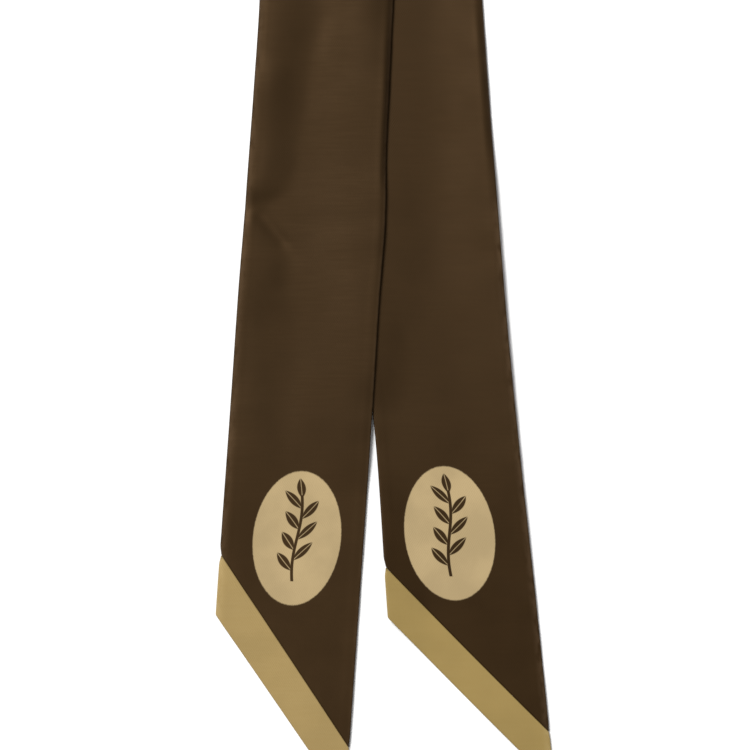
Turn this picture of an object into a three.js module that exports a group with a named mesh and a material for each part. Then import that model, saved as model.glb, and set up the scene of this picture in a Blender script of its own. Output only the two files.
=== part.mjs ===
// A narrow neck scarf, folded once across its middle and laid flat with its left tail over its right.
// Millimetres. X runs across the scarf, Y up its length to the fold, Z up from the surface under it.
import * as THREE from 'three';

const { clamp, lerp, smoothstep } = THREE.MathUtils;

// The cloth, and the gaps between its pieces and its layers
const clothThickness = 1.0;
const layerGap = 0.4; // between the tails where one lies on the other
const seamGap = 0.5; // along the strip, which is 0.3 square to the slanted seam
const leftNick = 0.5; // how far each end seam draws the left long edge in
const rightNick = 0.15;
const nickReach = 3.5;

// The fold across the middle
const foldRadius = 2.6; // to the middle of the cloth
const foldY = 264.4; // where both tails leave the round of the fold
const foldSettle = 60; // below the fold, the length in which the upper tail comes down to the lower one
const halfArc = (Math.PI / 2) * foldRadius;

// How the upper tail comes down beside the lower tail's left edge
const overhangHeld = 1;
const overhangFall = 34;
const partedAt = 401; // along the strip, where the tails part
const partedFall = 28;

// Cross-section of the upper tail
const rimDrop = 0.35; // least fall from the top of the lip to the very edge
const rimShare = 0.12; // further fall there, as a share of the lip's height
const backIn = 14; // from the right edge in to the end of the broad back

// How raised cloth comes down at each tail's right edge: the reach and power of its round, and the distances
// from the fold between which it loosens to a share of its fall
const upperRoll = { reach: 1.8, power: 1.1, tightUntil: 312, looseFrom: 327, looseShare: 0.5 };
const lowerRoll = { reach: 3.2, power: 2, tightUntil: 290, looseFrom: 330, looseShare: 0.1 };

// Spacing of the facets
const columnCount = 14;
const columnCrowding = 0.5; // toward the long edges
const foldSteps = 4;
const upperStep = 7.5;
const lowerStep = 12;
const seamStep = 2;
const bandSteps = 3;
const skewLength = 190; // above each end seam, the length in which the rows take the seam's slant

// The long edges, by distance along the strip from the middle of the fold.
// The lower, right tail counts up from zero, and the upper, left tail counts down.
const edgeRows = [
  { along: -540, left: -63.6, right: -14.2 },
  { along: -465, left: -58.8, right: -9.0 },
  { along: -412, left: -55.0, right: -5.3 },
  { along: -360, left: -51.4, right: -2.1 },
  { along: -334, left: -49.3, right: -0.1 },
  { along: -308, left: -47.3, right: 0.4 },
  { along: -282, left: -45.3, right: 1.6 },
  { along: -256, left: -43.6, right: 2.8 },
  { along: -130, left: -38.8, right: 10.2 },
  { along: 0, left: -32.2, right: 17.8 },
  { along: 130, left: -24.5, right: 25.6 },
  { along: 256, left: -16.4, right: 33.8 },
  { along: 360, left: -8.5, right: 41.7 },
  { along: 412, left: -3.2, right: 46.7 },
  { along: 465, left: 0.4, right: 52.5 },
  { along: 530, left: 5.2, right: 59.1 },
];

// Where each tail's end seam and cut end cross its long edges, by distance from the middle of the fold
const leftTail = {
  sign: -1, step: upperStep, seamLeft: 448.9, seamRight: 516.2, cutLeft: 469.9, cutRight: 535.9,
};
const rightTail = {
  sign: 1, step: lowerStep, seamLeft: 453.0, seamRight: 510.7, cutLeft: 470.7, cutRight: 529.4,
};

// Cross-section of the upper tail, by distance from the middle of the fold: how far its left lip lies from
// the left edge and how high it lifts, where the slope beside it ends, and how high the broad back and the
// right shoulder lie
const creaseRows = [
  { along: 20, lipAt: 4.2, lip: 0, footAt: 19, back: 0, shoulder: 0 },
  { along: 130, lipAt: 4.2, lip: 3, footAt: 23, back: 1.3, shoulder: 0.6 },
  { along: 256, lipAt: 3.6, lip: 5.2, footAt: 25, back: 2.3, shoulder: 0.6 },
  { along: 272, lipAt: 3.8, lip: 4.9, footAt: 22, back: 2.2, shoulder: 1.4 },
  { along: 285, lipAt: 4.8, lip: 4.6, footAt: 20, back: 2, shoulder: 1.8 },
  { along: 296, lipAt: 5.2, lip: 3.6, footAt: 20, back: 1.8, shoulder: 1.8 },
  { along: 305, lipAt: 5.4, lip: 2.8, footAt: 19, back: 1.5, shoulder: 1.7 },
  { along: 314, lipAt: 5.2, lip: 2.4, footAt: 18, back: 1.1, shoulder: 1.4 },
  { along: 322, lipAt: 3.6, lip: 2.1, footAt: 15.5, back: 0.9, shoulder: 1.2 },
  { along: 328, lipAt: 2.4, lip: 1, footAt: 9, back: 0.8, shoulder: 1 },
  { along: 333, lipAt: 2.4, lip: 1.6, footAt: 11, back: 0.6, shoulder: 0.8 },
  { along: 341, lipAt: 3.6, lip: 1.8, footAt: 17, back: 0.5, shoulder: 0.7 },
  { along: 350, lipAt: 4.2, lip: 1.7, footAt: 24, back: 0.3, shoulder: 0.5 },
  { along: 358, lipAt: 4.6, lip: 1.5, footAt: 24, back: 0.2, shoulder: 0.4 },
  { along: 370, lipAt: 6.4, lip: 0.9, footAt: 23, back: 0.1, shoulder: 0.3 },
  { along: 385, lipAt: 7.2, lip: 0.8, footAt: 24, back: 0, shoulder: 0.2 },
  { along: 400, lipAt: 5, lip: 0.9, footAt: 22, back: 0, shoulder: 0 },
  { along: 420, lipAt: 4, lip: 1.4, footAt: 23, back: 0, shoulder: 0 },
  { along: 450, lipAt: 3.6, lip: 0.8, footAt: 22, back: 0, shoulder: 0 },
  { along: 480, lipAt: 3.6, lip: 0.3, footAt: 20, back: 0, shoulder: 0 },
  { along: 510, lipAt: 3.6, lip: 0.1, footAt: 20, back: 0, shoulder: 0 },
];

// Soft swells of the cloth. Place and reach run along the strip, across and spread from its left edge,
// and a swell ends at its reach and its spread.
const swellRows = [
  { along: 270, across: 12, reach: 100, spread: 26, height: 1.1 },
  { along: 345, across: 4, reach: 55, spread: 22, height: 1 },
  { along: 375, across: 0, reach: 32, spread: 16, height: 0.9 },
  { along: 458, across: -8, reach: 58, spread: 24, height: 2.9 },
  { along: 335, across: 60, reach: 165, spread: 34, height: 2 },
  { along: -425, across: 30, reach: 70, spread: 26, height: 0.4 },
];

/** Slope of a table's column at one of its rows. */
function columnSlope(rows, column, index) {
  const before = rows[Math.max(index - 1, 0)];
  const after = rows[Math.min(index + 1, rows.length - 1)];
  return (after[column] - before[column]) / (after.along - before.along);
}

/** Value of a table's column at any distance along the strip, on a smooth curve through its rows. */
function readColumn(rows, column, along) {
  const place = clamp(along, rows[0].along, rows[rows.length - 1].along);
  const next = Math.max(1, rows.findIndex((row) => row.along >= place));
  const start = rows[next - 1];
  const end = rows[next];
  const span = end.along - start.along;
  const share = (place - start.along) / span;
  const startSlope = columnSlope(rows, column, next - 1) * span;
  const endSlope = columnSlope(rows, column, next) * span;
  const rise = end[column] - start[column];
  const bend = share * (1 - share) * ((1 - share) * (startSlope - rise) - share * (endSlope - rise));
  return start[column] + rise * share + bend;
}

/** Distance along the tail at which its end seam lies, at a share of the way across the strip. */
function seamAlong(tail, across) {
  return lerp(tail.seamLeft, tail.seamRight, across);
}

/** Distance along the tail at which its cut end lies, at a share of the way across the strip. */
function cutAlong(tail, across) {
  return lerp(tail.cutLeft, tail.cutRight, across);
}

/** Left and right edge of the strip, drawn in a little at the end seams. */
function edgesAt(along, across) {
  const tail = along < 0 ? leftTail : rightTail;
  const fromSeam = Math.abs(Math.abs(along) - seamAlong(tail, across));
  const drawn = 1 - smoothstep(fromSeam, 0, nickReach);
  return {
    left: readColumn(edgeRows, 'left', along) + leftNick * drawn,
    right: readColumn(edgeRows, 'right', along) - rightNick * drawn,
  };
}

/** Height that the soft swells add at a distance along the strip and from its left edge. */
function swellHeight(along, fromLeft) {
  let height = 0;
  for (const swell of swellRows) {
    const lengthwise = (along - swell.along) / swell.reach;
    const crosswise = (fromLeft - swell.across) / swell.spread;
    height += swell.height * Math.max(0, 1 - lengthwise ** 2 - crosswise ** 2) ** 2;
  }
  return height;
}

/** Height of the upper tail's lip, back and shoulder. */
function creaseHeight(distance, fromLeft, width) {
  const [lipAt, lip, footAt, back, shoulder] = ['lipAt', 'lip', 'footAt', 'back', 'shoulder'].map(
    (column) => Math.max(0, readColumn(creaseRows, column, distance)),
  );
  const beforeLip = clamp(1 - fromLeft / lipAt, 0, 1);
  const rim = Math.min(lip, rimDrop + rimShare * lip);
  const lipHeight = lip - rim * beforeLip ** 2;
  const slope = smoothstep(fromLeft, lipAt, footAt);
  const beyondBack = clamp((fromLeft - width) / backIn + 1, 0, 1);
  return lerp(lipHeight, back, slope) + (shoulder - back) * beyondBack ** 2;
}

/** Raised height after the small round at the right edge. */
function rolled(relief, along, x, roll) {
  const fall = lerp(1, roll.looseShare, smoothstep(Math.abs(along), roll.tightUntil, roll.looseFrom));
  const inward = clamp((readColumn(edgeRows, 'right', along) - x) / roll.reach, 0, 1);
  return relief * (1 - fall * (1 - inward) ** roll.power);
}

/** Distance of a point from the left edge of the strip. */
function fromLeftEdge(along, x) {
  return x - readColumn(edgeRows, 'left', along);
}

/** Height of the middle of the lower tail's cloth. */
function lowerHeight(along, x) {
  return clothThickness / 2 + rolled(swellHeight(along, fromLeftEdge(along, x)), along, x, lowerRoll);
}

/** Height of the lower tail's middle where the upper one rests on it. */
function underHeight(distance, x) {
  return clothThickness / 2 + swellHeight(distance, fromLeftEdge(distance, x));
}

/** Height of the middle of the upper tail's cloth, which lies on the lower tail and comes down beside it. */
function upperHeight(along, x) {
  const distance = Math.abs(along);
  const fromLeft = fromLeftEdge(along, x);
  const width = fromLeft + readColumn(edgeRows, 'right', along) - x;
  const overhang = -fromLeftEdge(distance, x);
  const beside = smoothstep(overhang, overhangHeld, overhangHeld + overhangFall);
  const parted = smoothstep(distance - partedAt, 0, partedFall);
  const stack = underHeight(distance, x) + clothThickness / 2 + layerGap;
  const foldLift = 2 * foldRadius - clothThickness - layerGap;
  const unsettled = 1 - smoothstep(distance - halfArc, 0, foldSettle);
  const relief = creaseHeight(distance, fromLeft, width) + swellHeight(along, fromLeft);
  const carried = stack * (1 - beside) * (1 - parted) + unsettled * foldLift;
  return clothThickness / 2 + carried + rolled(relief, along, x, upperRoll);
}

/** Middle of the cloth and the way out of its face, at a place along and a share across the strip. */
function clothPoint(along, across) {
  const edges = edgesAt(along, across);
  const x = lerp(edges.left, edges.right, across);
  const belowFold = Math.abs(along) - halfArc;
  if (belowFold < 0) {
    const turn = along / foldRadius;
    const out = new THREE.Vector3(0, Math.cos(turn), -Math.sin(turn));
    const centre = new THREE.Vector3(x, foldY, clothThickness / 2 + foldRadius);
    return { middle: centre.addScaledVector(out, foldRadius), out };
  }
  const z = along > 0 ? lowerHeight(along, x) : upperHeight(along, x);
  const out = new THREE.Vector3(0, 0, -Math.sign(along));
  return { middle: new THREE.Vector3(x, foldY - belowFold, z), out };
}

/** One row of cloth points across the strip. */
function clothRow(alongAt) {
  const row = [];
  for (let column = 0; column <= columnCount; column += 1) {
    const even = column / columnCount;
    const across = even - (columnCrowding * Math.sin(2 * Math.PI * even)) / (2 * Math.PI);
    row.push(clothPoint(alongAt(across), across));
  }
  return row;
}

/** Distances of a tail's rows from the middle of the fold, on the strip's middle line, to the end seam. */
function rowDistances(tail) {
  const end = seamAlong(tail, 0.5);
  const distances = [];
  for (let step = 1; step <= foldSteps; step += 1) {
    distances.push((halfArc * step) / foldSteps);
  }
  const lastRegular = end - seamStep;
  const count = Math.round((lastRegular - halfArc) / tail.step);
  for (let step = 1; step <= count; step += 1) {
    distances.push(lerp(halfArc, lastRegular, step / count));
  }
  distances.push(end);
  return distances;
}

/** Rows of one tail from the fold to its end seam, level at the fold and slanted like the seam at the end. */
function tailRows(tail) {
  const end = seamAlong(tail, 0.5);
  return rowDistances(tail).map((distance) => {
    const skew = smoothstep(distance, end - skewLength, end - seamStep);
    return clothRow((across) => tail.sign * (distance + skew * (seamAlong(tail, across) - end)));
  });
}

/** Rows of one end band, from just past the seam to the cut end. */
function bandRows(tail) {
  const rows = [];
  for (let step = 0; step <= bandSteps; step += 1) {
    const share = step / bandSteps;
    rows.push(clothRow((across) => (
      tail.sign * lerp(seamAlong(tail, across) + seamGap, cutAlong(tail, across), share)
    )));
  }
  return tail.sign < 0 ? rows.reverse() : rows;
}

/** Vertices round the outline of a grid of rows, in the order in which its outer face turns. */
function outlineOf(rowCount, rowLength) {
  const last = rowLength - 1;
  const outline = [];
  for (let column = 0; column < last; column += 1) {
    outline.push(column);
  }
  for (let row = 0; row < rowCount - 1; row += 1) {
    outline.push(row * rowLength + last);
  }
  for (let column = last; column > 0; column -= 1) {
    outline.push((rowCount - 1) * rowLength + column);
  }
  for (let row = rowCount - 1; row > 0; row -= 1) {
    outline.push(row * rowLength);
  }
  return outline;
}

/** Closed sheet of cloth through rows of points: an outer face, an inner face and the edge between them. */
function clothGeometry(rows) {
  const rowLength = rows[0].length;
  const sideCount = rows.length * rowLength;
  const corners = [];
  for (const side of [1, -1]) {
    for (const point of rows.flat()) {
      corners.push(point.middle.clone().addScaledVector(point.out, (side * clothThickness) / 2));
    }
  }
  const indices = [];
  const addQuad = (a, b, c, d) => indices.push(a, b, c, a, c, d);
  for (let row = 0; row < rows.length - 1; row += 1) {
    for (let column = 0; column < rowLength - 1; column += 1) {
      const a = row * rowLength + column;
      const b = a + 1;
      const c = b + rowLength;
      const d = a + rowLength;
      addQuad(a, b, c, d);
      addQuad(a + sideCount, d + sideCount, c + sideCount, b + sideCount);
    }
  }
  const outline = outlineOf(rows.length, rowLength);
  outline.forEach((start, place) => {
    const end = outline[(place + 1) % outline.length];
    addQuad(end, start, start + sideCount, end + sideCount);
  });
  const geometry = new THREE.BufferGeometry().setFromPoints(corners);
  geometry.setIndex(indices);
  geometry.computeVertexNormals();
  return geometry;
}

/** Named mesh of one piece of cloth. */
function clothMesh(name, rows, material) {
  const mesh = new THREE.Mesh(clothGeometry(rows), material);
  mesh.name = name;
  return mesh;
}

const brownSatin = new THREE.MeshStandardMaterial({ color: 'rgb(68, 51, 34)', roughness: 0.55, metalness: 0 });
const tanSatin = new THREE.MeshStandardMaterial({ color: 'rgb(172, 148, 96)', roughness: 0.55, metalness: 0 });

const foldRow = clothRow(() => 0);
const stripRows = [...tailRows(leftTail).reverse(), foldRow, ...tailRows(rightTail)];

const scarf = new THREE.Group();
scarf.name = 'scarf';
scarf.add(clothMesh('scarf_strip', stripRows, brownSatin));
scarf.add(clothMesh('left_end_band', bandRows(leftTail), tanSatin));
scarf.add(clothMesh('right_end_band', bandRows(rightTail), tanSatin));

export default scarf;
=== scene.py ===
"""A narrow neck scarf of brown satin, folded once and laid flat with its left tail over its right.

The strip and its two end bands are cut flat, given their thickness and pressed edges, and then laid:
each point of the flat cloth moves to its place on the surface. Everything is in metres.
"""

import logging
import math
from collections.abc import Callable, Sequence
from dataclasses import dataclass, field, replace
from enum import Enum
from typing import Any

import bmesh
import bpy
import numpy as np
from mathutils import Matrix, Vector, noise


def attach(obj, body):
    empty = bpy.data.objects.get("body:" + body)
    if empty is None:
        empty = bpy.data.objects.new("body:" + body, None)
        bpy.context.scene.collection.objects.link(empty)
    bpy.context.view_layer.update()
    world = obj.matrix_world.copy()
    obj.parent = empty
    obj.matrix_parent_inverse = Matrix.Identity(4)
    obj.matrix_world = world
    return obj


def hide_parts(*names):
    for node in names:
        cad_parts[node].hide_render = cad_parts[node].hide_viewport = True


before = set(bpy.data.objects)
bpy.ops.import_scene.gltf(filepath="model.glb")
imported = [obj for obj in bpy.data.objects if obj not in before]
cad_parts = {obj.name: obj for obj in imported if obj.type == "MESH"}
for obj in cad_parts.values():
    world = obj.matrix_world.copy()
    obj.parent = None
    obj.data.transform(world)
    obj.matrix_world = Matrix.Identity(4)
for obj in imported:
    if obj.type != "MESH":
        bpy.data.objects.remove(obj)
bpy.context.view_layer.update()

log = logging.getLogger("scarf")

CLOTH_UV = "cloth"

Array = np.ndarray


def eased(value: Array | float, low: float, high: float) -> Array:
    """Share of the way from low to high, with a soft start and end.

    Args:
        value: The places to judge.
        low: Where the share is nought.
        high: Where the share is one.

    Returns:
        Values from nought to one.
    """
    share = np.clip((value - low) / (high - low), 0.0, 1.0)
    return share * share * (3.0 - 2.0 * share)


# Tables of the lie of the cloth

@dataclass(frozen=True)
class EdgeRow:
    """Long edges of the strip at one distance along it from the middle of the fold."""

    along: float
    left: float
    right: float


@dataclass(frozen=True)
class CreaseRow:
    """Cross-section of the upper tail: the place and height of its left lip, where the lip's slope ends,
    and the heights of the broad back and of the right shoulder."""

    along: float
    lip_at: float
    lip: float
    foot_at: float
    back: float
    shoulder: float


@dataclass(frozen=True)
class Swell:
    """A soft rise of the cloth that ends at its reach along the strip and its spread across it. Along is
    negative on the left tail, and across is from the left edge."""

    along: float
    across: float
    reach: float
    spread: float
    height: float


@dataclass(frozen=True)
class Pinch:
    """A short groove pressed into the cloth between two places of the strip."""

    from_along: float
    from_across: float
    to_along: float
    to_across: float
    width: float
    depth: float


@dataclass(frozen=True)
class EdgeRoll:
    """How raised cloth comes down at a tail's right edge: the reach and power of its round, and the
    distances from the fold between which it loosens to a share of its fall."""

    reach: float
    power: float
    tight_until: float
    loose_from: float
    loose_share: float


class SmoothTable:
    """A short table whose columns are read as smooth curves along the strip."""

    def __init__(self, rows: Sequence[Any]) -> None:
        """Keeps the rows, which are in order of their distance along the strip."""
        self.rows = rows
        self.places = np.array([row.along for row in rows])

    def read(self, column: str, along: Array) -> Array:
        """Values of one column.

        Args:
            column: Name of the column.
            along: Distances along the strip.

        Returns:
            The column's value at each distance.
        """
        values = np.array([getattr(row, column) for row in self.rows])
        after = np.append(values[1:], values[-1])
        before = np.insert(values[:-1], 0, values[0])
        gap = np.append(self.places[1:], self.places[-1]) - np.insert(self.places[:-1], 0, self.places[0])
        slopes = (after - before) / gap
        place = np.clip(along, self.places[0], self.places[-1])
        start = np.clip(np.searchsorted(self.places, place, side="left") - 1, 0, len(values) - 2)
        span = self.places[start + 1] - self.places[start]
        share = (place - self.places[start]) / span
        rise = values[start + 1] - values[start]
        leaving = slopes[start] * span - rise
        arriving = slopes[start + 1] * span - rise
        bend = share * (1 - share) * ((1 - share) * leaving - share * arriving)
        return values[start] + rise * share + bend


class Side(Enum):
    """The two tails. The value is the sign of distances along the strip on that tail."""

    LEFT = -1
    RIGHT = 1


@dataclass(frozen=True)
class TailEnd:
    """Where a tail's end seam and cut end cross its two long edges, as distances from the fold."""

    side: Side
    seam_left: float
    seam_right: float
    cut_left: float
    cut_right: float

    def seam(self, across: Array) -> Array:
        """Distance to the end seam at a share of the way across."""
        return self.seam_left + (self.seam_right - self.seam_left) * across

    def seam_along(self, across: Array) -> Array:
        """End seam as a signed distance along the strip."""
        return self.side.value * self.seam(across)

    def cut_along(self, across: Array) -> Array:
        """Cut end as a signed distance along the strip."""
        return self.side.value * (self.cut_left + (self.cut_right - self.cut_left) * across)


LEFT_END = TailEnd(Side.LEFT, 0.4489, 0.5162, 0.4699, 0.5359)
RIGHT_END = TailEnd(Side.RIGHT, 0.4530, 0.5107, 0.4707, 0.5294)


def to_seam(along: Array, across: Array) -> Array:
    """Distance of places of the strip from the end seam of their tail.

    Args:
        along: Signed distances along the strip.
        across: Shares of the way across it.

    Returns:
        Distances along the strip, never negative.
    """
    seam = np.where(along < 0, LEFT_END.seam(across), RIGHT_END.seam(across))
    return np.abs(np.abs(along) - seam)


@dataclass
class ClothLay:
    """How the flat cloth lies: the fold, the fan of the tails and the soft relief of each."""

    width: float = 0.050
    cad_thickness: float = 0.0010
    layer_gap: float = 0.0004
    fold_radius: float = 0.0026
    fold_y: float = 0.2644
    fold_settle: float = 0.060
    overhang_held: float = 0.001
    overhang_fall: float = 0.034
    left_nick: float = 0.0005
    right_nick: float = 0.00015
    nick_reach: float = 0.0035
    parted_at: float = 0.401
    parted_fall: float = 0.028
    rim_drop: float = 0.00035
    rim_share: float = 0.12
    back_in: float = 0.0140
    upper_roll: EdgeRoll = EdgeRoll(0.0018, 1.1, 0.312, 0.327, 0.50)
    lower_roll: EdgeRoll = EdgeRoll(0.0032, 2.0, 0.290, 0.330, 0.10)
    edges: SmoothTable = field(default_factory=lambda: SmoothTable([
        EdgeRow(-0.540, -0.0636, -0.0142),
        EdgeRow(-0.465, -0.0588, -0.0090),
        EdgeRow(-0.412, -0.0550, -0.0053),
        EdgeRow(-0.360, -0.0514, -0.0021),
        EdgeRow(-0.334, -0.0493, -0.0001),
        EdgeRow(-0.308, -0.0473, 0.0004),
        EdgeRow(-0.282, -0.0453, 0.0016),
        EdgeRow(-0.256, -0.0436, 0.0028),
        EdgeRow(-0.130, -0.0388, 0.0102),
        EdgeRow(0.000, -0.0322, 0.0178),
        EdgeRow(0.130, -0.0245, 0.0256),
        EdgeRow(0.256, -0.0164, 0.0338),
        EdgeRow(0.360, -0.0085, 0.0417),
        EdgeRow(0.412, -0.0032, 0.0467),
        EdgeRow(0.465, 0.0004, 0.0525),
        EdgeRow(0.530, 0.0052, 0.0591),
    ]))
    creases: SmoothTable = field(default_factory=lambda: SmoothTable([
        CreaseRow(0.020, 0.0042, 0.0000, 0.0190, 0.0000, 0.0000),
        CreaseRow(0.130, 0.0042, 0.0030, 0.0230, 0.0013, 0.0006),
        CreaseRow(0.256, 0.0036, 0.0052, 0.0250, 0.0023, 0.0006),
        CreaseRow(0.272, 0.0038, 0.0049, 0.0220, 0.0022, 0.0014),
        CreaseRow(0.285, 0.0048, 0.0046, 0.0200, 0.0020, 0.0018),
        CreaseRow(0.296, 0.0052, 0.0036, 0.0200, 0.0018, 0.0018),
        CreaseRow(0.305, 0.0054, 0.0028, 0.0190, 0.0015, 0.0017),
        CreaseRow(0.314, 0.0052, 0.0024, 0.0180, 0.0011, 0.0014),
        CreaseRow(0.322, 0.0036, 0.0021, 0.0155, 0.0009, 0.0012),
        CreaseRow(0.328, 0.0024, 0.0010, 0.0090, 0.0008, 0.0010),
        CreaseRow(0.333, 0.0024, 0.0016, 0.0110, 0.0006, 0.0008),
        CreaseRow(0.341, 0.0036, 0.0018, 0.0170, 0.0005, 0.0007),
        CreaseRow(0.350, 0.0042, 0.0017, 0.0240, 0.0003, 0.0005),
        CreaseRow(0.358, 0.0046, 0.0015, 0.0240, 0.0002, 0.0004),
        CreaseRow(0.370, 0.0064, 0.0009, 0.0230, 0.0001, 0.0003),
        CreaseRow(0.385, 0.0072, 0.0008, 0.0240, 0.0000, 0.0002),
        CreaseRow(0.400, 0.0050, 0.0009, 0.0220, 0.0000, 0.0000),
        CreaseRow(0.420, 0.0040, 0.0014, 0.0230, 0.0000, 0.0000),
        CreaseRow(0.450, 0.0036, 0.0008, 0.0220, 0.0000, 0.0000),
        CreaseRow(0.480, 0.0036, 0.0003, 0.0200, 0.0000, 0.0000),
        CreaseRow(0.510, 0.0036, 0.0001, 0.0200, 0.0000, 0.0000),
    ]))
    swells: tuple[Swell, ...] = (
        Swell(0.270, 0.012, 0.100, 0.0260, 0.0011),
        Swell(0.345, 0.004, 0.055, 0.0220, 0.0010),
        Swell(0.375, 0.000, 0.032, 0.0160, 0.0009),
        Swell(0.458, -0.008, 0.058, 0.0240, 0.0029),
        Swell(0.335, 0.060, 0.165, 0.0340, 0.0020),
        Swell(-0.425, 0.030, 0.070, 0.0260, 0.0004),
    )
    pinches: tuple[Pinch, ...] = (
        Pinch(-0.3314, 0.0060, -0.3400, 0.0140, 0.0022, 0.0005),
        Pinch(-0.3440, 0.0165, -0.3540, 0.0165, 0.0045, 0.0003),
    )

    @property
    def half_arc(self) -> float:
        """Length of cloth from the middle of the fold to where a tail leaves its round."""
        return math.pi / 2 * self.fold_radius

    def left_edge(self, along: Array) -> Array:
        """Left long edge, without the nick at the seams."""
        return self.edges.read("left", along)

    def right_edge(self, along: Array) -> Array:
        """Right long edge, without the nick at the seams."""
        return self.edges.read("right", along)

    def drawn(self, along: Array, across: Array) -> Array:
        """Share in which an end seam draws the long edges in, from nought far from it to one on it."""
        return 1 - eased(to_seam(along, across), 0, self.nick_reach)

    def swell_height(self, along: Array, from_left: Array) -> Array:
        """Height of the soft swells and short grooves."""
        height = np.zeros_like(along)
        for swell in self.swells:
            lengthwise = (along - swell.along) / swell.reach
            crosswise = (from_left - swell.across) / swell.spread
            height += swell.height * np.maximum(1 - lengthwise ** 2 - crosswise ** 2, 0) ** 2
        for pinch in self.pinches:
            height -= self.pinch_depth(pinch, along, from_left)
        return height

    @staticmethod
    def pinch_depth(pinch: Pinch, along: Array, from_left: Array) -> Array:
        """Depth of one short groove.

        Args:
            pinch: The groove.
            along: Distances along the strip.
            from_left: Distances from the left edge.

        Returns:
            Depth at each place.
        """
        run = np.array([pinch.to_along - pinch.from_along, pinch.to_across - pinch.from_across])
        length = np.linalg.norm(run)
        step = run / length
        out = np.stack([along - pinch.from_along, from_left - pinch.from_across])
        forward = out[0] * step[0] + out[1] * step[1]
        nearest = np.clip(forward, 0, length)
        away = np.hypot(out[0] - nearest * step[0], out[1] - nearest * step[1])
        return pinch.depth * np.exp(-(away / pinch.width) ** 2)

    def crease_height(self, distance: Array, from_left: Array, width: Array) -> Array:
        """Height of the upper tail's lip, back and shoulder.

        Args:
            distance: Distances from the fold.
            from_left: Distances from the left edge.
            width: Width of the laid strip there.

        Returns:
            Height at each place.
        """
        lip_at, lip, foot_at, back, shoulder = (
            np.maximum(self.creases.read(column, distance), 0)
            for column in ("lip_at", "lip", "foot_at", "back", "shoulder")
        )
        before_lip = np.clip(1 - from_left / lip_at, 0, 1)
        rim = np.minimum(lip, self.rim_drop + self.rim_share * lip)
        lip_height = lip - rim * before_lip ** 2
        height = lip_height + (back - lip_height) * eased(from_left, lip_at, foot_at)
        beyond_back = np.clip((from_left - width) / self.back_in + 1, 0, 1)
        return height + (shoulder - back) * beyond_back ** 2

    def rolled(self, relief: Array, along: Array, x: Array, roll: EdgeRoll) -> Array:
        """Brings raised cloth down in a small round at the right edge.

        Args:
            relief: Raised heights.
            along: Distances along the strip.
            x: Places across.
            roll: The round of this tail.

        Returns:
            The heights after the round.
        """
        fall = 1 - (1 - roll.loose_share) * eased(np.abs(along), roll.tight_until, roll.loose_from)
        inward = np.clip((self.right_edge(along) - x) / roll.reach, 0, 1)
        return np.maximum(relief, 0) * (1 - fall * (1 - inward) ** roll.power)

    def lower_height(self, along: Array, x: Array) -> Array:
        """Height of the middle of the lower tail's cloth."""
        relief = self.swell_height(along, x - self.left_edge(along))
        return self.cad_thickness / 2 + self.rolled(relief, along, x, self.lower_roll)

    def under_height(self, distance: Array, x: Array) -> Array:
        """Height of the lower tail's middle where the upper one rests on it."""
        relief = self.swell_height(distance, x - self.left_edge(distance))
        return self.cad_thickness / 2 + np.maximum(relief, 0)

    def upper_height(self, along: Array, x: Array) -> Array:
        """Height of the middle of the upper tail's cloth, which comes down beside the lower tail."""
        distance = np.abs(along)
        overhang = self.left_edge(distance) - x
        held = self.overhang_held
        carried = 1 - eased(overhang, held, held + self.overhang_fall)
        carried = carried * (1 - eased(distance - self.parted_at, 0, self.parted_fall))
        stack = self.under_height(distance, x) + self.cad_thickness / 2 + self.layer_gap
        fold_lift = 2 * self.fold_radius - self.cad_thickness - self.layer_gap
        unsettled = 1 - eased(distance - self.half_arc, 0, self.fold_settle)
        left = self.left_edge(along)
        width = self.right_edge(along) - left
        relief = self.crease_height(distance, x - left, width) + self.swell_height(along, x - left)
        raised = self.rolled(relief, along, x, self.upper_roll)
        return self.cad_thickness / 2 + carried * stack + unsettled * fold_lift + raised

    def place(self, flat: Array) -> Array:
        """Lays points of the flat cloth.

        Args:
            flat: Points as rows: across the strip, along it, and out of its middle.

        Returns:
            The laid points as rows.
        """
        across = flat[:, 0] / self.width
        along = flat[:, 1]
        drawn = self.drawn(along, np.clip(across, 0, 1))
        left = self.left_edge(along) + self.left_nick * drawn
        right = self.right_edge(along) - self.right_nick * drawn
        x = left + (right - left) * across
        turn = np.clip(along, -self.half_arc, self.half_arc) / self.fold_radius
        below = np.maximum(np.abs(along) - self.half_arc, 0)
        out_y, out_z = np.cos(turn), -np.sin(turn)
        round_z = self.cad_thickness / 2 + self.fold_radius * (1 + out_z)
        lower = self.lower_height(along, x)
        upper = self.upper_height(along, x)
        middle_z = np.where(below <= 0, round_z, np.where(along > 0, lower, upper))
        y = self.fold_y - below + self.fold_radius * out_y
        return np.stack([x, y + flat[:, 2] * out_y, middle_z + flat[:, 2] * out_z], axis=1)


@dataclass(frozen=True)
class ClothMake:
    """Thickness and pressed finish of the sewn cloth. A turn is an angle between faces in radians, a swing
    is how far a wave's phase wanders, a swing rate how often it does so, and a slant how much the phase
    moves for each metre across."""

    thickness: float = 0.0009
    corner_turn: float = 0.4
    corner_round: float = 0.0005
    rim_turn: float = 1.0
    edge_round: float = 0.00038
    allowance_from: float = 0.0032
    allowance_to: float = 0.0042
    allowance_swell: float = 0.00012
    pucker: float = 0.00010
    pucker_pitch: float = 0.0065
    pucker_reach: float = 0.0045
    pucker_swing: float = 2.0
    pucker_swing_rate: float = 0.37
    edge_ripple: float = 0.00016
    edge_ripple_pitch: float = 0.021
    edge_ripple_reach: float = 0.008
    edge_ripple_swing: float = 1.7
    edge_ripple_swing_rate: float = 0.31
    edge_ripple_slant: float = 40.0
    rumple: float = 0.00032
    rumple_size: float = 0.016
    rumple_stretch: float = 0.6
    rumple_layer: float = 3.1


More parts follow.
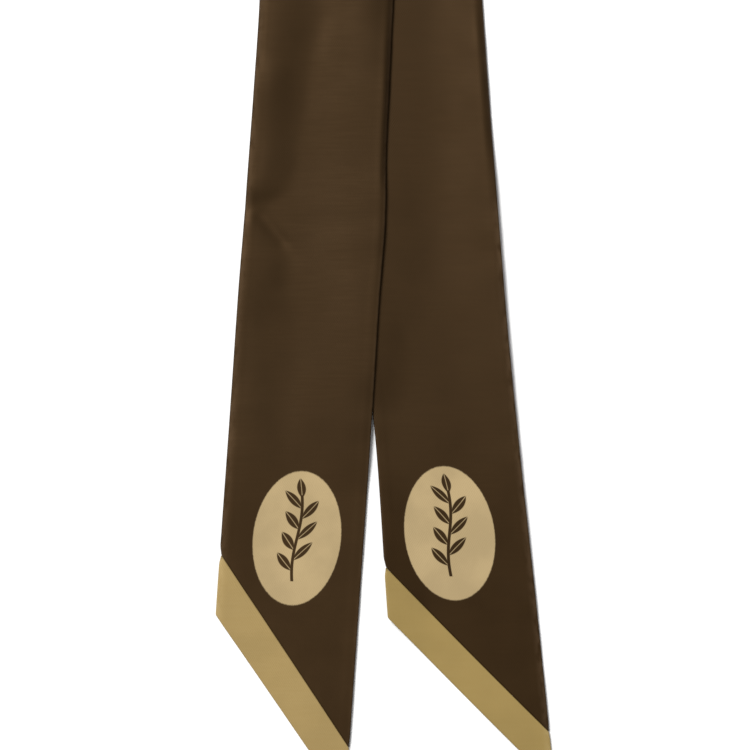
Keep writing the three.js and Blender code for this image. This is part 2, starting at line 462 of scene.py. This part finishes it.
# Cloth pieces

@dataclass
class ClothPiece:
    """A flat piece of sewn cloth that is cut by its two end lines and then laid."""

    name: str
    slot: str
    start: Callable[[Array], Array]
    end: Callable[[Array], Array]
    lay: ClothLay
    make: ClothMake
    columns: int = 44
    row_length: float = 0.00125
    column_crowding: float = 0.5

    def cut_flat(self) -> bmesh.types.BMesh:
        """Cuts the flat piece, with its columns crowded toward the long edges.

        Returns:
            An open flat sheet, across along X and along the strip along Y.
        """
        middle = np.array([0.5])
        length = float(self.end(middle)[0] - self.start(middle)[0])
        cloth = bmesh.new()
        bmesh.ops.create_grid(
            cloth, x_segments=self.columns, y_segments=round(length / self.row_length), size=0.5
        )
        bmesh.ops.translate(cloth, verts=cloth.verts, vec=(0.5, 0.5, 0.0))
        for vert in cloth.verts:
            even = vert.co.x
            across = even - self.column_crowding * math.sin(2 * math.pi * even) / (2 * math.pi)
            start, end = float(self.start(across)), float(self.end(across))
            vert.co.x = across * self.lay.width
            vert.co.y = start + (end - start) * vert.co.y
        return cloth

    def thicken(self, cloth: bmesh.types.BMesh) -> None:
        """Gives the flat sheet its thickness and rounds its pressed edges."""
        half = self.make.thickness / 2
        bmesh.ops.translate(cloth, verts=cloth.verts, vec=(0.0, 0.0, half))
        raised = bmesh.ops.extrude_face_region(cloth, geom=cloth.faces[:])
        lowered = [item for item in raised["geom"] if isinstance(item, bmesh.types.BMVert)]
        bmesh.ops.translate(cloth, verts=lowered, vec=(0.0, 0.0, -self.make.thickness))
        bmesh.ops.recalc_face_normals(cloth, faces=cloth.faces[:])
        make = self.make
        corners = [e for e in cloth.edges if self.upright(e) and e.calc_face_angle() > make.corner_turn]
        self.round_over(cloth, corners, make.corner_round)
        rim = [e for e in cloth.edges if not self.upright(e) and e.calc_face_angle() > make.rim_turn]
        self.round_over(cloth, rim, make.edge_round)

    def upright(self, edge: bmesh.types.BMEdge) -> bool:
        """Whether an edge runs through the thickness of the flat cloth."""
        return abs(edge.verts[0].co.z - edge.verts[1].co.z) > self.make.thickness / 2

    @staticmethod
    def round_over(cloth: bmesh.types.BMesh, edges: list[bmesh.types.BMEdge], offset: float) -> None:
        """Rounds edges of the cloth over by an offset."""
        bmesh.ops.bevel(
            cloth, geom=edges, offset=offset, segments=2, profile=0.5, affect="EDGES", material=-1
        )

    def build(self) -> bpy.types.Object:
        """Makes the laid piece.

        Returns:
            The piece's object, in the scene.
        """
        cloth = self.cut_flat()
        self.thicken(cloth)
        layer = cloth.loops.layers.uv.new(CLOTH_UV)
        for face in cloth.faces:
            face.smooth = True
            for loop in face.loops:
                loop[layer].uv = loop.vert.co.xy
        mesh = bpy.data.meshes.new(self.name)
        cloth.to_mesh(mesh)
        cloth.free()
        flat = np.empty(len(mesh.vertices) * 3)
        mesh.vertices.foreach_get("co", flat)
        flat = flat.reshape(-1, 3)
        laid = self.lay.place(self.press(flat))
        laid[:, 2] += self.rumples(flat)
        mesh.vertices.foreach_set("co", laid.ravel())
        mesh.update()
        piece = bpy.data.objects.new(self.name, mesh)
        bpy.context.scene.collection.objects.link(piece)
        return piece

    def press(self, flat: Array) -> Array:
        """Thickens the cloth over its seam allowances, so that a faint ridge runs inside each edge."""
        across, along, out = flat.T
        to_edge = np.minimum(across, self.lay.width - across)
        over_allowance = 1 - eased(to_edge, self.make.allowance_from, self.make.allowance_to)
        swell = self.make.allowance_swell * over_allowance
        return np.stack([across, along, out + np.sign(out) * swell / 2], axis=1)

    def rumples(self, flat: Array) -> Array:
        """Small rise of the cloth from puckers at the seams, ripples at the edges and soft rumples.

        Args:
            flat: Points of the flat cloth.

        Returns:
            The rise of each point.
        """
        make = self.make
        across, along, _ = flat.T
        from_seam = to_seam(along, np.clip(across / self.lay.width, 0, 1))
        to_edge = np.minimum(across, self.lay.width - across).clip(0)
        turn = 2 * math.pi / make.pucker_pitch * across
        pucker = 0.5 + 0.5 * np.sin(turn + make.pucker_swing * np.sin(make.pucker_swing_rate * turn))
        rise = make.pucker * pucker * np.exp(-from_seam / make.pucker_reach)
        wave = 2 * math.pi / make.edge_ripple_pitch * along
        swing = make.edge_ripple_swing * np.sin(make.edge_ripple_swing_rate * wave)
        ripple = 0.5 + 0.5 * np.sin(wave + swing + make.edge_ripple_slant * across)
        rise += make.edge_ripple * ripple * np.exp(-to_edge / make.edge_ripple_reach)
        scale = 1 / make.rumple_size
        spots = zip(across * scale, along * scale * make.rumple_stretch)
        rough = [noise.noise(Vector((u, v, make.rumple_layer))) for u, v in spots]
        return rise + make.rumple * (0.5 + 0.5 * np.array(rough))


# Materials

class Graph:
    """A node tree that is wired by short calls."""

    def __init__(self, tree: bpy.types.NodeTree) -> None:
        """Keeps the tree."""
        self.tree = tree

    def add(self, kind: str, **settings: Any) -> bpy.types.Node:
        """Adds a node and sets its options."""
        node = self.tree.nodes.new(kind)
        for name, value in settings.items():
            setattr(node, name, value)
        return node

    def feed(self, socket: bpy.types.NodeSocket, value: Any) -> None:
        """Links a socket to another one, or sets its value."""
        if isinstance(value, bpy.types.NodeSocket):
            self.tree.links.new(value, socket)
        else:
            socket.default_value = value

    def math(self, operation: str, *values: Any) -> bpy.types.NodeSocket:
        """Result of a Math node on sockets or numbers."""
        node = self.add("ShaderNodeMath", operation=operation)
        for socket, value in zip(node.inputs, values):
            self.feed(socket, value)
        return node.outputs[0]

    def wave(self, cycles: Any) -> bpy.types.NodeSocket:
        """Sine wave of a number of whole cycles."""
        return self.math("SINE", self.math("MULTIPLY", cycles, 2 * math.pi))

    def soft_step(self, value: Any, low: Any, high: Any) -> bpy.types.NodeSocket:
        """Smooth rise from nought at low to one at high."""
        node = self.add("ShaderNodeMapRange", interpolation_type="SMOOTHSTEP")
        for name, given in (("Value", value), ("From Min", low), ("From Max", high)):
            self.feed(node.inputs[name], given)
        return node.outputs["Result"]

    def mix_colour(self, share: Any, first: Any, second: Any, blend: str = "MIX") -> bpy.types.NodeSocket:
        """Mix of two colours."""
        node = self.add("ShaderNodeMix", data_type="RGBA", blend_type=blend)
        self.feed(node.inputs[0], share)
        self.feed(node.inputs[6], first)
        self.feed(node.inputs[7], second)
        return node.outputs[2]

    def split(self, vector: bpy.types.NodeSocket) -> tuple[bpy.types.NodeSocket, bpy.types.NodeSocket]:
        """First two parts of a vector."""
        node = self.add("ShaderNodeSeparateXYZ")
        self.feed(node.inputs[0], vector)
        return node.outputs[0], node.outputs[1]

    def noise_at(self, across: Any, along: Any, detail: float) -> bpy.types.NodeSocket:
        """Value noise at a place that is already scaled to its grain size."""
        join = self.add("ShaderNodeCombineXYZ")
        self.feed(join.inputs[0], across)
        self.feed(join.inputs[1], along)
        node = self.add("ShaderNodeTexNoise", noise_dimensions="2D")
        self.feed(node.inputs["Vector"], join.outputs[0])
        node.inputs["Scale"].default_value = 1.0
        node.inputs["Detail"].default_value = detail
        return node.outputs["Fac"]


def effect_group(
    name: str, numbers: dict[str, float], outputs: Sequence[str]
) -> tuple[bpy.types.NodeTree, Graph, dict[str, bpy.types.NodeSocket], bpy.types.Node]:
    """Starts a shader node group that reads the cloth's coordinates, with named sockets.

    Args:
        name: Name of the group.
        numbers: Names and starting values of its number inputs.
        outputs: Names of the outputs, which are all numbers.

    Returns:
        The group, its graph, its inputs by name and its output node.
    """
    group = bpy.data.node_groups.new(name, "ShaderNodeTree")
    group.interface.new_socket("Cloth", in_out="INPUT", socket_type="NodeSocketVector")
    for label, start in numbers.items():
        socket = group.interface.new_socket(label, in_out="INPUT", socket_type="NodeSocketFloat")
        socket.default_value = start
    for label in outputs:
        group.interface.new_socket(label, in_out="OUTPUT", socket_type="NodeSocketFloat")
    graph = Graph(group)
    entry = graph.add("NodeGroupInput")
    sockets = {socket.name: socket for socket in entry.outputs if socket.name}
    return group, graph, sockets, graph.add("NodeGroupOutput")


@dataclass(frozen=True)
class SatinWeave:
    """Fine slanted ribs of twill with the threads across them. The ribs drift by a share of their pitch, in
    patches whose noise has the drift's scale, and the slant is their direction across and along."""

    rib_pitch: float = 0.0006
    thread_pitch: float = 0.00035
    drift_scale: float = 260.0
    drift_share: float = 0.9
    slant: tuple[float, float] = (0.82, 0.57)
    rib_height: float = 0.36
    thread_height: float = 0.14

    def group(self) -> bpy.types.NodeTree:
        """Builds the node group."""
        group, graph, given, result = effect_group(
            "satin_weave",
            {"Rib pitch": self.rib_pitch, "Thread pitch": self.thread_pitch},
            ["Height", "Shade"],
        )
        across, along = graph.split(given["Cloth"])
        drift = graph.noise_at(
            graph.math("MULTIPLY", across, self.drift_scale),
            graph.math("MULTIPLY", along, self.drift_scale),
            1.0,
        )
        slant = graph.math(
            "ADD", graph.math("MULTIPLY", across, self.slant[0]), graph.math("MULTIPLY", along, self.slant[1])
        )
        ribs = graph.math("DIVIDE", slant, given["Rib pitch"])
        rib = graph.wave(graph.math("ADD", ribs, graph.math("MULTIPLY", drift, self.drift_share)))
        thread = graph.wave(graph.math("DIVIDE", along, given["Thread pitch"]))
        height = graph.math("MULTIPLY_ADD", thread, self.thread_height, 0.5)
        graph.feed(result.inputs["Height"], graph.math("MULTIPLY_ADD", rib, self.rib_height, height))
        graph.feed(result.inputs["Shade"], graph.math("MULTIPLY_ADD", rib, 0.5, 0.5))
        return group


@dataclass(frozen=True)
class SlubStreaks:
    """Thin uneven threads that run across the strip, and the noise between which one shows."""

    length: float = 0.014
    width: float = 0.0008
    shows_from: float = 0.3
    shows_full: float = 0.72

    def group(self) -> bpy.types.NodeTree:
        """Builds the node group."""
        group, graph, given, result = effect_group(
            "slub_streaks", {"Streak length": self.length, "Streak width": self.width}, ["Streak"]
        )
        across, along = graph.split(given["Cloth"])
        stretched = graph.noise_at(
            graph.math("DIVIDE", across, given["Streak length"]),
            graph.math("DIVIDE", along, given["Streak width"]),
            2.0,
        )
        streak = graph.soft_step(stretched, self.shows_from, self.shows_full)
        graph.feed(result.inputs["Streak"], streak)
        return group


@dataclass(frozen=True)
class ToneDrift:
    """Slow drift of tone over the cloth, and the noise at its darkest and at its lightest."""

    patch_size: float = 0.018
    darkest: float = 0.3
    lightest: float = 0.7

    def group(self) -> bpy.types.NodeTree:
        """Builds the node group."""
        numbers = {"Patch size": self.patch_size}
        group, graph, given, result = effect_group("tone_drift", numbers, ["Tone"])
        across, along = graph.split(given["Cloth"])
        size = given["Patch size"]
        broad = graph.noise_at(graph.math("DIVIDE", across, size), graph.math("DIVIDE", along, size), 3.0)
        graph.feed(result.inputs["Tone"], graph.soft_step(broad, self.darkest, self.lightest))
        return group


@dataclass(frozen=True)
class EdgeRub:
    """Light line along the left edge, partly rubbed wear and partly a painted highlight, which passes to the
    right edge between two distances from the fold on the right tail. It fades over its reach. On the edge
    opposite it is fainter, because there it starts beyond the edge by the inner side's distance. A noise with
    a scale across and one along breaks it up."""

    width: float = 0.050
    reach: float = 0.0030
    inner_side: float = 0.0014
    passes_from: float = 0.28
    passes_to: float = 0.33
    grain: tuple[float, float] = (600.0, 220.0)
    broken_from: float = 0.25
    broken_to: float = 0.6

    def group(self) -> bpy.types.NodeTree:
        """Builds the node group."""
        group, graph, given, result = effect_group(
            "edge_rub_and_highlight",
            {"Width": self.width, "Reach": self.reach, "Inner side": self.inner_side},
            ["Rub"],
        )
        across, along = graph.split(given["Cloth"])
        on_right = graph.soft_step(along, self.passes_from, self.passes_to)
        turned = graph.math("SUBTRACT", given["Width"], graph.math("MULTIPLY", across, 2.0))
        from_outer = graph.math("ADD", across, graph.math("MULTIPLY", on_right, turned))
        beyond = graph.math("ADD", given["Width"], given["Inner side"])
        to_edge = graph.math("MINIMUM", from_outer, graph.math("SUBTRACT", beyond, from_outer))
        rub_and_highlight = graph.math("SUBTRACT", 1.0, graph.soft_step(to_edge, 0.0, given["Reach"]))
        grain = graph.noise_at(
            graph.math("MULTIPLY", across, self.grain[0]), graph.math("MULTIPLY", along, self.grain[1]), 2.0
        )
        broken = graph.soft_step(grain, self.broken_from, self.broken_to)
        graph.feed(result.inputs["Rub"], graph.math("MULTIPLY", rub_and_highlight, broken))
        return group


@dataclass(frozen=True)
class SprigPrint:
    """An oval printed near each end, with a leaf sprig left in the cloth's own brown. The places across and
    along are its middle on each tail. The side leaves sprout between the lowest and the highest foot, each
    with a paler rib, and the top leaf is sunk into the end of the stem."""

    half_width: float = 0.0155
    half_height: float = 0.0235
    left_across: float = 0.0266
    right_across: float = 0.0230
    left_along: float = 0.4432
    right_along: float = 0.4415
    stem_half: float = 0.00042
    stem_reach: float = 0.0150
    stem_bend: float = 0.0011
    leaf_pitch: float = 0.0072
    leaf_length: float = 0.0088
    leaf_half: float = 0.0016
    leaf_lean: float = math.radians(42)
    lowest_foot: float = -0.0135
    highest_foot: float = 0.0115
    rib_half: float = 0.00004
    rib_fade: float = 0.00022
    rib_tone: float = 0.25
    top_length: float = 0.0072
    top_sunk: float = 0.0012
    bend_span: float = 1.3
    rim_grain: float = 1500.0
    rim_roughness: float = 0.016
    softness: float = 0.00022

    def group(self) -> bpy.types.NodeTree:
        """Masks of the printed oval and of the sprig in it.

        Returns:
            The node group.
        """
        group, graph, given, result = effect_group("sprig_print", {}, ["Oval", "Sprig"])
        across, along = graph.split(given["Cloth"])
        on_right = graph.math("GREATER_THAN", along, 0.0)
        centre_across = self.pick(graph, on_right, self.left_across, self.right_across)
        centre_along = self.pick(graph, on_right, self.left_along, self.right_along)
        x = graph.math("SUBTRACT", across, centre_across)
        y = graph.math("SUBTRACT", centre_along, graph.math("ABSOLUTE", along))
        graph.feed(result.inputs["Oval"], self.oval(graph, x, y))
        graph.feed(result.inputs["Sprig"], self.sprig(graph, x, y))
        return group

    @staticmethod
    def pick(graph: Graph, flag: bpy.types.NodeSocket, first: float, second: float) -> bpy.types.NodeSocket:
        """First number where the flag is nought, second where it is one."""
        return graph.math("MULTIPLY_ADD", flag, second - first, first)

    def oval(self, graph: Graph, x: bpy.types.NodeSocket, y: bpy.types.NodeSocket) -> bpy.types.NodeSocket:
        """Mask of the oval."""
        wide = graph.math("POWER", graph.math("DIVIDE", x, self.half_width), 2.0)
        tall = graph.math("POWER", graph.math("DIVIDE", y, self.half_height), 2.0)
        radius = graph.math("SQRT", graph.math("ADD", wide, tall))
        grain = graph.noise_at(
            graph.math("MULTIPLY", x, self.rim_grain), graph.math("MULTIPLY", y, self.rim_grain), 2.0
        )
        uneven = graph.math("MULTIPLY_ADD", grain, self.rim_roughness, radius)
        band = self.softness / self.half_width
        return graph.math("SUBTRACT", 1.0, graph.soft_step(uneven, 1.0 - band, 1.0 + band))

    def leaf(
        self, graph: Graph, forward: bpy.types.NodeSocket, aside: bpy.types.NodeSocket, length: float
    ) -> bpy.types.NodeSocket:
        """Mask of one pointed leaf.

        Args:
            graph: The graph that the nodes go in.
            forward: Distance from the leaf's foot toward its tip.
            aside: Distance from the leaf's middle line.
            length: Length of the leaf.

        Returns:
            The mask.
        """
        share = graph.math("DIVIDE", forward, length)
        rest = graph.math("SUBTRACT", 1.0, share)
        bulge = graph.math("MULTIPLY", graph.math("MULTIPLY", share, rest), 4 * self.leaf_half)
        room = graph.math("SUBTRACT", bulge, graph.math("ABSOLUTE", aside))
        body = graph.soft_step(room, -self.softness / 2, self.softness)
        off_rib = graph.soft_step(graph.math("ABSOLUTE", aside), self.rib_half, self.rib_fade)
        tone = graph.math("MULTIPLY_ADD", off_rib, 1 - self.rib_tone, self.rib_tone)
        return graph.math("MULTIPLY", body, tone)

    def sprig(self, graph: Graph, x: bpy.types.NodeSocket, y: bpy.types.NodeSocket) -> bpy.types.NodeSocket:
        """Mask of the sprig: a bent stem, leaves in turn on either side and one at the top."""
        bend_turn = math.pi / (self.bend_span * self.stem_reach)
        sway = graph.math("SINE", graph.math("MULTIPLY", y, bend_turn))
        bent = graph.math("SUBTRACT", x, graph.math("MULTIPLY", sway, self.stem_bend))
        off_stem = graph.math("ABSOLUTE", bent)
        past_stem = graph.soft_step(off_stem, self.stem_half, self.stem_half + self.softness)
        on_length = graph.math("LESS_THAN", graph.math("ABSOLUTE", y), self.stem_reach)
        stem = graph.math("MULTIPLY", graph.math("SUBTRACT", 1.0, past_stem), on_length)
        on_left = graph.math("LESS_THAN", bent, 0.0)
        from_foot = graph.math("ADD", y, self.stem_reach)
        shifted = graph.math("MULTIPLY_ADD", on_left, self.leaf_pitch / 2, from_foot)
        up = graph.math("FLOORED_MODULO", shifted, self.leaf_pitch)
        sine, cosine = math.sin(self.leaf_lean), math.cos(self.leaf_lean)
        forward = graph.math(
            "ADD", graph.math("MULTIPLY", off_stem, sine), graph.math("MULTIPLY", up, cosine)
        )
        aside = graph.math(
            "SUBTRACT", graph.math("MULTIPLY", off_stem, cosine), graph.math("MULTIPLY", up, sine)
        )
        leaves = self.leaf(graph, forward, aside, self.leaf_length)
        foot = graph.math("SUBTRACT", y, up)
        above = graph.math("GREATER_THAN", foot, self.lowest_foot)
        below = graph.math("LESS_THAN", foot, self.highest_foot)
        leaves = graph.math("MULTIPLY", leaves, graph.math("MULTIPLY", above, below))
        top_forward = graph.math("SUBTRACT", y, self.stem_reach - self.top_sunk)
        top = self.leaf(graph, top_forward, bent, self.top_length)
        return graph.math("MAXIMUM", graph.math("MAXIMUM", stem, leaves), top)


class Effects:
    """The node groups that the satin finishes share, each built once."""

    def __init__(self) -> None:
        """Builds the groups."""
        self.weave = SatinWeave().group()
        self.streaks = SlubStreaks().group()
        self.drift = ToneDrift().group()
        self.rub_and_highlight = EdgeRub().group()


@dataclass(frozen=True)
class NapPaintedLight:
    """Painted light and shade low on the two tails: the dyed colour is made lighter low on the left tail and
    darker low on the right, standing in for how the satin's nap meets the light there; and the distances from
    the fold between which they come in."""

    left_painted_light: tuple[float, float, float]
    right_painted_shade: tuple[float, float, float]
    starts: float = 0.390
    ends: float = 0.450

    def over(
        self, graph: Graph, cloth: bpy.types.NodeSocket, colour: bpy.types.NodeSocket
    ) -> bpy.types.NodeSocket:
        """Dyed colour with the painted light and shade multiplied in."""
        along = graph.split(cloth)[1]
        painted_light_low_left = graph.soft_step(graph.math("MULTIPLY", along, -1.0), self.starts, self.ends)
        painted_shade_low_right = graph.soft_step(along, self.starts, self.ends)
        colour = graph.mix_colour(painted_light_low_left, colour, (*self.left_painted_light, 1.0), blend="MULTIPLY")
        return graph.mix_colour(painted_shade_low_right, colour, (*self.right_painted_shade, 1.0), blend="MULTIPLY")


@dataclass(frozen=True)
class SatinFinish:
    """A satin: its dyed colour, the lighter tone of its threads, its rubbed tone along the edges, which is
    partly a painted highlight, any painted light and shade low on the tails, and how it shines. The depths
    say how much the tone and the roughness change over the cloth."""

    name: str
    colour: tuple[float, float, float]
    thread: tuple[float, float, float]
    rubbed_and_highlit: tuple[float, float, float]
    roughness: float
    sheen: float
    gloss: float = 0.27
    gloss_tint: tuple[float, float, float] = (1.0, 0.61, 0.31)
    sheen_roughness: float = 0.45
    tone_depth: float = 0.14
    weave_depth: float = 0.10
    roughness_depth: float = 0.10
    streak_share: float = 0.16
    streak_polish: float = 0.05
    streak_rise: float = 0.06
    rub_and_highlight_share: float = 0.25
    bump: float = 0.30
    bump_height: float = 0.00008
    nap_painted_light: NapPaintedLight | None = None
    sprig: SprigPrint | None = None
    print_colour: tuple[float, float, float] = (0.375, 0.282, 0.148)

    def material(self, effects: Effects) -> bpy.types.Material:
        """Makes the material.

        Args:
            effects: The shared node groups.

        Returns:
            The material.
        """
        material = bpy.data.materials.new(self.name)
        material.use_nodes = True
        graph = Graph(material.node_tree)
        shader = material.node_tree.nodes["Principled BSDF"]
        cloth = graph.add("ShaderNodeUVMap", uv_map=CLOTH_UV).outputs[0]
        weave = self.effect(graph, effects.weave, cloth)
        streak = self.effect(graph, effects.streaks, cloth).outputs["Streak"]
        tone = self.effect(graph, effects.drift, cloth).outputs["Tone"]
        rub_and_highlight = self.effect(graph, effects.rub_and_highlight, cloth).outputs["Rub"]
        streaked = graph.math("MULTIPLY", streak, self.streak_share)
        colour = graph.mix_colour(streaked, (*self.colour, 1.0), (*self.thread, 1.0))
        # painted light low on the left tail and painted shade low on the right tail, multiplied into the dyed
        # colour
        if self.nap_painted_light is not None:
            colour = self.nap_painted_light.over(graph, cloth, colour)
        if self.sprig is not None:
            colour = self.printed(graph, cloth, colour)
        shade = graph.math("MULTIPLY_ADD", tone, self.tone_depth, 1 - self.tone_depth / 2)
        woven = graph.math(
            "MULTIPLY_ADD", weave.outputs["Shade"], self.weave_depth, 1 - self.weave_depth / 2
        )
        shade = graph.math("MULTIPLY", shade, woven)
        # lighter line along the outer edges: partly rubbed wear, partly a painted highlight
        rubbed_and_highlit = graph.math("MULTIPLY", rub_and_highlight, self.rub_and_highlight_share)
        colour = graph.mix_colour(rubbed_and_highlit, colour, (*self.rubbed_and_highlit, 1.0))
        grey = graph.add("ShaderNodeCombineColor")
        for socket in grey.inputs[:3]:
            graph.feed(socket, shade)
        colour = graph.mix_colour(1.0, colour, grey.outputs[0], blend="MULTIPLY")
        graph.feed(shader.inputs["Base Color"], colour)
        smoothest = self.roughness - self.roughness_depth / 2
        uneven = graph.math("MULTIPLY_ADD", tone, self.roughness_depth, smoothest)
        roughness = graph.math("MULTIPLY_ADD", streak, -self.streak_polish, uneven)
        graph.feed(shader.inputs["Roughness"], roughness)
        shader.inputs["Specular IOR Level"].default_value = self.gloss
        shader.inputs["Specular Tint"].default_value = (*self.gloss_tint, 1.0)
        shader.inputs["Sheen Weight"].default_value = self.sheen
        shader.inputs["Sheen Roughness"].default_value = self.sheen_roughness
        shader.inputs["Sheen Tint"].default_value = (*self.thread, 1.0)
        raised = graph.math("MULTIPLY_ADD", streak, self.streak_rise, weave.outputs["Height"])
        bump = graph.add("ShaderNodeBump")
        bump.inputs["Strength"].default_value = self.bump
        bump.inputs["Distance"].default_value = self.bump_height
        graph.feed(bump.inputs["Height"], raised)
        graph.feed(shader.inputs["Normal"], bump.outputs[0])
        return material

    @staticmethod
    def effect(graph: Graph, group: bpy.types.NodeTree, cloth: bpy.types.NodeSocket) -> bpy.types.Node:
        """Places a shared group that reads the cloth's own coordinates."""
        node = graph.add("ShaderNodeGroup", node_tree=group)
        graph.feed(node.inputs["Cloth"], cloth)
        return node

    def printed(
        self, graph: Graph, cloth: bpy.types.NodeSocket, colour: bpy.types.NodeSocket
    ) -> bpy.types.NodeSocket:
        """Lays the print's colour over the dyed cloth."""
        masks = self.effect(graph, self.sprig.group(), cloth)
        kept = graph.math("SUBTRACT", 1.0, masks.outputs["Sprig"])
        inked = graph.math("MULTIPLY", masks.outputs["Oval"], kept)
        return graph.mix_colour(inked, colour, (*self.print_colour, 1.0))


BROWN_SATIN = SatinFinish(
    name="brown_satin",
    colour=(0.0190, 0.0104, 0.0040),
    thread=(0.0250, 0.0139, 0.0055),
    rubbed_and_highlit=(0.110, 0.0700, 0.0400),
    roughness=0.58,
    sheen=0.06,
    # painted light low on the left tail and painted shade low on the right tail
    nap_painted_light=NapPaintedLight(left_painted_light=(1.15, 1.13, 1.10), right_painted_shade=(0.81, 0.76, 0.62)),
    sprig=SprigPrint(),
)
TAN_SATIN = SatinFinish(
    name="tan_satin",
    colour=(0.302, 0.214, 0.086),
    thread=(0.345, 0.252, 0.112),
    rubbed_and_highlit=(0.450, 0.345, 0.170),
    roughness=0.50,
    sheen=0.05,
    tone_depth=0.06,
)
# Darker copy of the tan satin for the right band: painted shade, standing in for how its cross grain meets
# the light.
SHADED_TAN_SATIN = replace(
    TAN_SATIN,
    name="tan_satin_painted_shade",
    colour=(0.276, 0.195, 0.068),
    thread=(0.317, 0.230, 0.091),
)


# The scarf

@dataclass
class Scarf:
    """The folded scarf: one long strip and a band sewn to each of its ends. The lengths and the band's size
    are those of the flat cloth, and a band starts a touch past its seam."""

    lay: ClothLay = field(default_factory=ClothLay)
    make: ClothMake = field(default_factory=ClothMake)
    effects: Effects = field(default_factory=Effects)
    seam_touch: float = 0.00003
    longest: float = 1.028
    middle_length: float = 0.966
    band_flat: tuple[float, float] = (0.0115, 0.080)

    def build(self) -> list[bpy.types.Object]:
        """Returns:
            The strip and its bands.
        """
        # the right band takes the darker copy of the tan satin, which is painted shade
        finishes = (BROWN_SATIN, TAN_SATIN, SHADED_TAN_SATIN)
        touch = self.seam_touch
        strip = ClothPiece(
            "strip_cloth", "brown_satin", LEFT_END.seam_along, RIGHT_END.seam_along, self.lay, self.make
        )
        left = ClothPiece(
            "left_band_cloth", "tan_satin",
            LEFT_END.cut_along, lambda t: LEFT_END.seam_along(t) - touch, self.lay, self.make,
        )
        right = ClothPiece(
            "right_band_cloth", "tan_satin",
            lambda t: RIGHT_END.seam_along(t) + touch, RIGHT_END.cut_along, self.lay, self.make,
        )
        nodes = ("scarf_strip", "left_end_band", "right_end_band")
        made = []
        for piece, node, finish in zip((strip, left, right), nodes, finishes):
            made.append(self.dress(piece, node, finish.material(self.effects)))
        return made

    @staticmethod
    def dress(piece: ClothPiece, node: str, material: bpy.types.Material) -> bpy.types.Object:
        """Builds one piece in place of its node of the frame and gives it its finish."""
        made = piece.build()
        made.data.materials.append(material)
        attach(made, "root")
        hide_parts(node)
        log.info("%s: %d faces", made.name, len(made.data.polygons))
        return made


# The shot

@dataclass(frozen=True)
class Softbox:
    """A square lamp that points at the scarf."""

    name: str
    place: tuple[float, float, float]
    side: float
    power: float


@dataclass
class Studio:
    """Pale floor, soft lamps and the camera straight above. The photo's span is the width that it shows."""

    photo_span: float = 0.2615
    aim: tuple[float, float, float] = (-0.0036, -0.1179, 0.0)
    lens: float = 110.0
    sensor: float = 36.0
    floor_span: float = 6.0
    floor_drop: float = 0.0002
    floor_grey: float = 0.90
    floor_roughness: float = 0.9
    floor_gloss: float = 0.1
    world_light: float = 0.30
    lamps: tuple[Softbox, ...] = (
        Softbox("key_lamp", (-0.80, 0.85, 1.75), 0.85, 62.0),
        Softbox("fill_lamp", (3.0, -1.2, 3.2), 2.6, 12.0),
    )

    def camera(self) -> bpy.types.Object:
        """Puts the camera above the photographed part of the scarf.

        Returns:
            The camera.
        """
        lens = bpy.data.cameras.new("camera")
        lens.lens = self.lens
        lens.sensor_width = self.sensor
        camera = bpy.data.objects.new("camera", lens)
        height = self.photo_span * self.lens / self.sensor
        camera.location = Vector(self.aim) + Vector((0.0, 0.0, height))
        bpy.context.scene.collection.objects.link(camera)
        bpy.context.scene.camera = camera
        return camera

    def floor(self) -> bpy.types.Object:
        """Lays the floor.

        Returns:
            The floor.
        """
        shape = bmesh.new()
        bmesh.ops.create_grid(shape, x_segments=1, y_segments=1, size=self.floor_span / 2)
        bmesh.ops.translate(shape, verts=shape.verts, vec=(0.0, 0.0, -self.floor_drop))
        mesh = bpy.data.meshes.new("floor")
        shape.to_mesh(mesh)
        shape.free()
        floor = bpy.data.objects.new("floor", mesh)
        material = bpy.data.materials.new("floor_paint")
        material.use_nodes = True
        shader = material.node_tree.nodes["Principled BSDF"]
        grey = self.floor_grey
        shader.inputs["Base Color"].default_value = (grey, grey, grey, 1.0)
        shader.inputs["Roughness"].default_value = self.floor_roughness
        shader.inputs["Specular IOR Level"].default_value = self.floor_gloss
        mesh.materials.append(material)
        bpy.context.scene.collection.objects.link(floor)
        return floor

    def light(self) -> None:
        """Hangs the lamps and sets the even light of the room."""
        for box in self.lamps:
            lamp = bpy.data.lights.new(box.name, "AREA")
            lamp.shape = "SQUARE"
            lamp.size = box.side
            lamp.energy = box.power
            holder = bpy.data.objects.new(box.name, lamp)
            holder.location = box.place
            toward = Vector(self.aim) - Vector(box.place)
            holder.rotation_euler = toward.to_track_quat("-Z", "Y").to_euler()
            bpy.context.scene.collection.objects.link(holder)
        world = bpy.data.worlds.new("room")
        world.use_nodes = True
        background = world.node_tree.nodes["Background"]
        background.inputs["Color"].default_value = (1.0, 1.0, 1.0, 1.0)
        background.inputs["Strength"].default_value = self.world_light
        bpy.context.scene.world = world
        bpy.context.scene.view_settings.view_transform = "Standard"


def main() -> None:
    """Builds the shot and the scarf."""
    logging.basicConfig(level=logging.INFO, format="%(name)s: %(message)s")
    studio = Studio()
    studio.camera()
    studio.floor()
    studio.light()
    made = Scarf().build()
    log.info("%d pieces", len(made))


if __name__ == "__main__":
    main()
